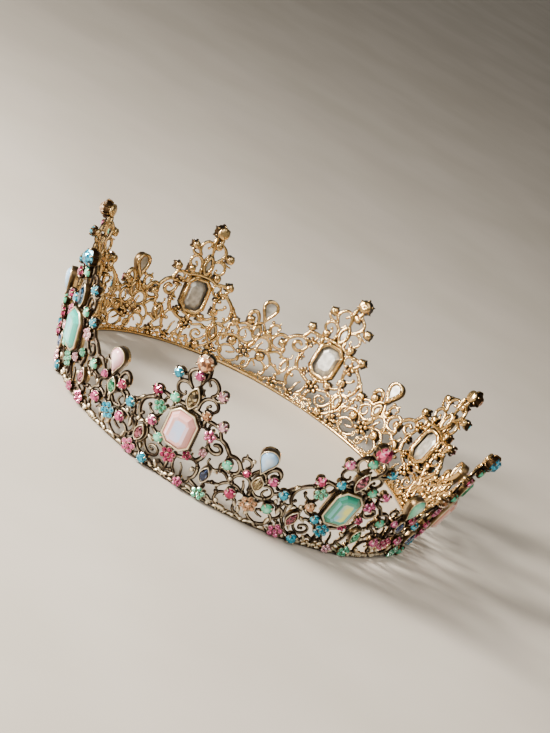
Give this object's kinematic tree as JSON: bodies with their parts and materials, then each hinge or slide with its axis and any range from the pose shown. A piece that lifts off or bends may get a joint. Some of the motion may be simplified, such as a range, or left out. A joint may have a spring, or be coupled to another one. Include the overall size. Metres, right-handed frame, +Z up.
{
  "type": "jewelled crown",
  "caption": "Closed round crown of pierced antique gold metal with pointed peaks, set with milky and clear cut glass stones, worn level on the head.",
  "frame": {"origin": "middle of the rim's lower face, on the crown's upright axis, where it stands on a table", "axes": "+Z up along the crown's axis from the rim to the peaks, -Y to the front through the middle of the first panel's octagon stone, +X to the right as seen from the front"},
  "size_m": [0.187, 0.187, 0.0535],
  "materials": {
    "antique_gold": "cast, antiqued dark in the recesses, worn bright on the raised parts",
    "pink_opal_glass": "milky pressed glass, cut and polished",
    "green_opal_glass": "milky pressed glass, cut and polished",
    "peach_opal_glass": "milky pressed glass, cut and polished",
    "mint_opal_glass": "milky pressed glass, cut and polished",
    "teal_opal_glass": "milky pressed glass, cut and polished",
    "blue_opal_glass": "milky pressed glass, cut and polished",
    "light_green_opal_glass": "milky pressed glass, cut and polished",
    "rose_opal_glass": "milky pressed glass, cut and polished",
    "olive_crystal": "cut and polished crystal glass, foiled behind",
    "garnet_crystal": "cut and polished crystal glass, foiled behind",
    "emerald_crystal": "cut and polished crystal glass, foiled behind",
    "navy_crystal": "cut and polished crystal glass, foiled behind",
    "blue_crystal": "cut and polished crystal glass, foiled behind",
    "champagne_crystal": "cut and polished crystal glass, foiled behind",
    "rose_red_crystal": "cut and polished crystal glass, foiled behind",
    "turquoise_crystal": "cut and polished crystal glass, foiled behind",
    "mint_crystal": "cut and polished crystal glass, foiled behind",
    "cream_crystal": "cut and polished crystal glass, foiled behind",
    "ruby_crystal": "cut and polished crystal glass, foiled behind",
    "rose_crystal": "cut and polished crystal glass, foiled behind",
    "blush_crystal": "cut and polished crystal glass, foiled behind"
  },
  "bodies": {
    "root": {"frame": "antique_gold", "octagon_1": "pink_opal_glass", "octagon_2": "green_opal_glass", "octagon_3": "peach_opal_glass", "octagon_4": "mint_opal_glass", "octagon_5": "pink_opal_glass", "octagon_6": "peach_opal_glass", "octagon_7": "mint_opal_glass", "octagon_8": "teal_opal_glass", "pear_1": "blue_opal_glass", "pear_2": "light_green_opal_glass", "pear_3": "rose_opal_glass", "pear_4": "blue_opal_glass", "pear_5": "light_green_opal_glass", "pear_6": "rose_opal_glass", "pear_7": "blue_opal_glass", "pear_8": "rose_opal_glass", "navette_1": "olive_crystal", "navette_2": "garnet_crystal", "navette_3": "emerald_crystal", "navette_4": "navy_crystal", "navette_5": "olive_crystal", "navette_6": "garnet_crystal", "navette_7": "emerald_crystal", "navette_8": "blue_crystal", "tip_1": "champagne_crystal", "tip_2": "rose_red_crystal", "tip_3": "turquoise_crystal", "tip_4": "champagne_crystal", "tip_5": "rose_red_crystal", "tip_6": "mint_crystal", "tip_7": "cream_crystal", "tip_8": "turquoise_crystal", "turquoise_stones": "turquoise_crystal", "mint_stones": "mint_crystal", "ruby_stones": "ruby_crystal", "rose_stones": "rose_crystal", "blush_stones": "blush_crystal", "champagne_stones": "champagne_crystal", "navy_stones": "navy_crystal"}
  },
  "joints": []
}
